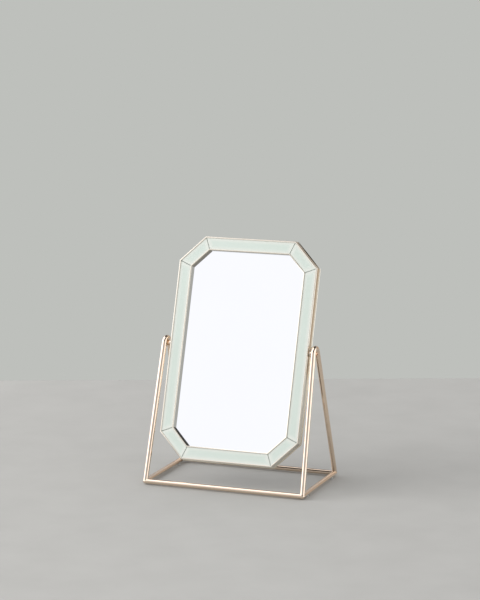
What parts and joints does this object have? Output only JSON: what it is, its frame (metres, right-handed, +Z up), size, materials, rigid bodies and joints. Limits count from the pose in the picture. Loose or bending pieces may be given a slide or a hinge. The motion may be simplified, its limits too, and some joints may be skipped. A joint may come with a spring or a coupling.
{
  "type": "tilting table mirror",
  "caption": "Free-standing tilting table mirror: an octagonal mirror with a mint glass border, pivoting between hairpin legs on a rectangular base of polished rose-gold rod.",
  "frame": {"origin": "on the table top, under the middle of the rectangular base ring", "axes": "+X to the viewer's right along the tilt axis, +Y away from the viewer, +Z up; the mirror leans back at rest, as in the picture"},
  "size_m": [0.206, 0.121, 0.2891],
  "materials": {
    "rose_gold_rod": "polished",
    "rose_gold_sheet": "polished",
    "rose_gold_screw": "polished",
    "mint_glass": "gloss",
    "silvered_glass": "polished",
    "fibreboard": "matte",
    "flocked_card": "matte",
    "brass": "satin",
    "zinc_plated_steel": "satin",
    "nylon": "satin",
    "clear_silicone": "gloss"
  },
  "bodies": {
    "stand": {"base_ring": "rose_gold_rod", "hairpin_left": "rose_gold_rod", "hairpin_right": "rose_gold_rod", "pivot_sleeve_left": "rose_gold_rod", "pivot_sleeve_right": "rose_gold_rod", "grip_pads": "clear_silicone"},
    "head": {"outer_rim": "rose_gold_sheet", "inner_trim": "rose_gold_sheet", "mirror_glass": "silvered_glass", "backing_board": "fibreboard", "back_cover": "flocked_card", "back_screws": "zinc_plated_steel", "pivot_insert_left": "brass", "pivot_insert_right": "brass", "pivot_screw_left": "rose_gold_screw", "pivot_screw_right": "rose_gold_screw", "friction_washer_left": "nylon", "friction_washer_right": "nylon", "spring_washer_left": "zinc_plated_steel", "spring_washer_right": "zinc_plated_steel", "glass_top_right": "mint_glass", "glass_top": "mint_glass", "glass_top_left": "mint_glass", "glass_left": "mint_glass", "glass_bottom_left": "mint_glass", "glass_bottom": "mint_glass", "glass_bottom_right": "mint_glass", "glass_right": "mint_glass"}
  },
  "joints": [
    {"name": "mirror_tilt", "type": "hinge", "parent": "stand", "child": "head", "pos_m": [0, 0, 0.162], "axis": [1, 0, 0], "continuous": true}
  ]
}
